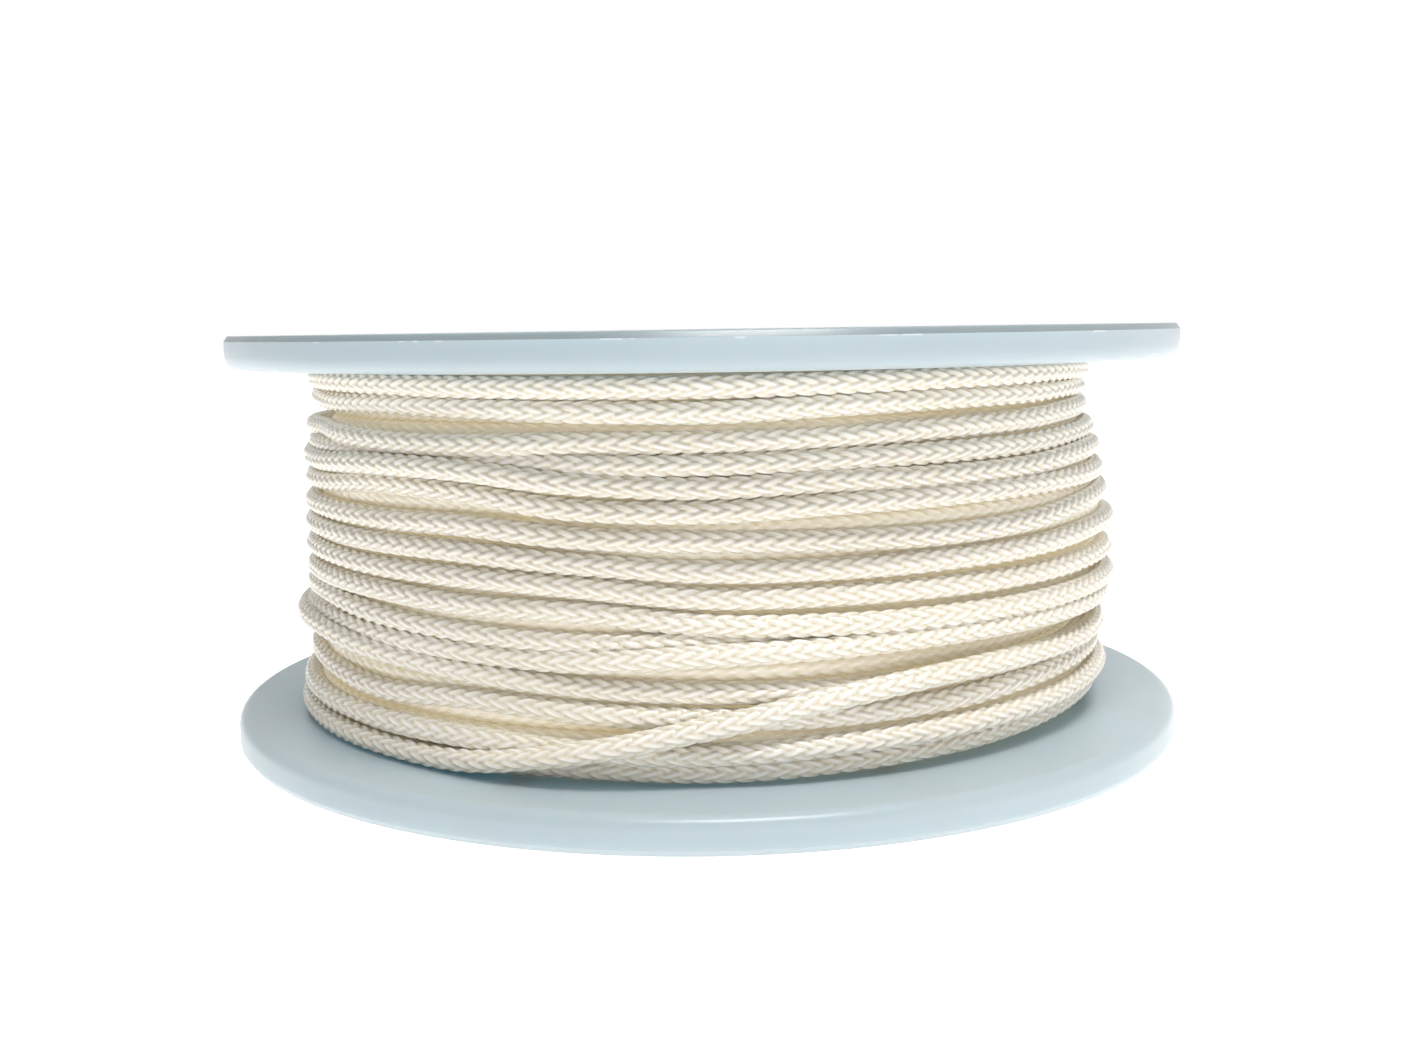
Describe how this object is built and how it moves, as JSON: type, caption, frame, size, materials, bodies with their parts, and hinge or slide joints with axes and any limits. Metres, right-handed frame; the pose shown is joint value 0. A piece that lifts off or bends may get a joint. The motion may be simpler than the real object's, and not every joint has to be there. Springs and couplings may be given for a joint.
{
  "type": "cord reel",
  "caption": "Round reel with two flat moulded flanges bolted to a barrel, a bore for a spindle, and white braided cord wound between the flanges.",
  "frame": {"origin": "middle of the face that the reel stands on", "axes": "+Z along the reel's axis, from the bottom flange to the top flange"},
  "size_m": [0.2, 0.2, 0.0832],
  "materials": {
    "flange_plastic": "glossy pale blue-grey moulded plastic with fine scuffs on the edges",
    "tube_plastic": "satin moulded plastic",
    "bush_plastic": "satin grey moulded plastic",
    "fastener_steel": "zinc plated steel",
    "cord": "ivory braided cord with a satin filament"
  },
  "bodies": {
    "root": {"flange_top": "flange_plastic", "flange_bottom": "flange_plastic", "barrel_tube": "tube_plastic", "arbor_tube": "tube_plastic", "bush_top": "bush_plastic", "bush_bottom": "bush_plastic", "cord_winding": "cord", "tie_bolt_1": "fastener_steel", "tie_nut_1": "fastener_steel", "washer_top_1": "fastener_steel", "washer_bottom_1": "fastener_steel", "tie_bolt_2": "fastener_steel", "tie_nut_2": "fastener_steel", "washer_top_2": "fastener_steel", "washer_bottom_2": "fastener_steel", "tie_bolt_3": "fastener_steel", "tie_nut_3": "fastener_steel", "washer_top_3": "fastener_steel", "washer_bottom_3": "fastener_steel", "tie_bolt_4": "fastener_steel", "tie_nut_4": "fastener_steel", "washer_top_4": "fastener_steel", "washer_bottom_4": "fastener_steel"}
  },
  "joints": []
}
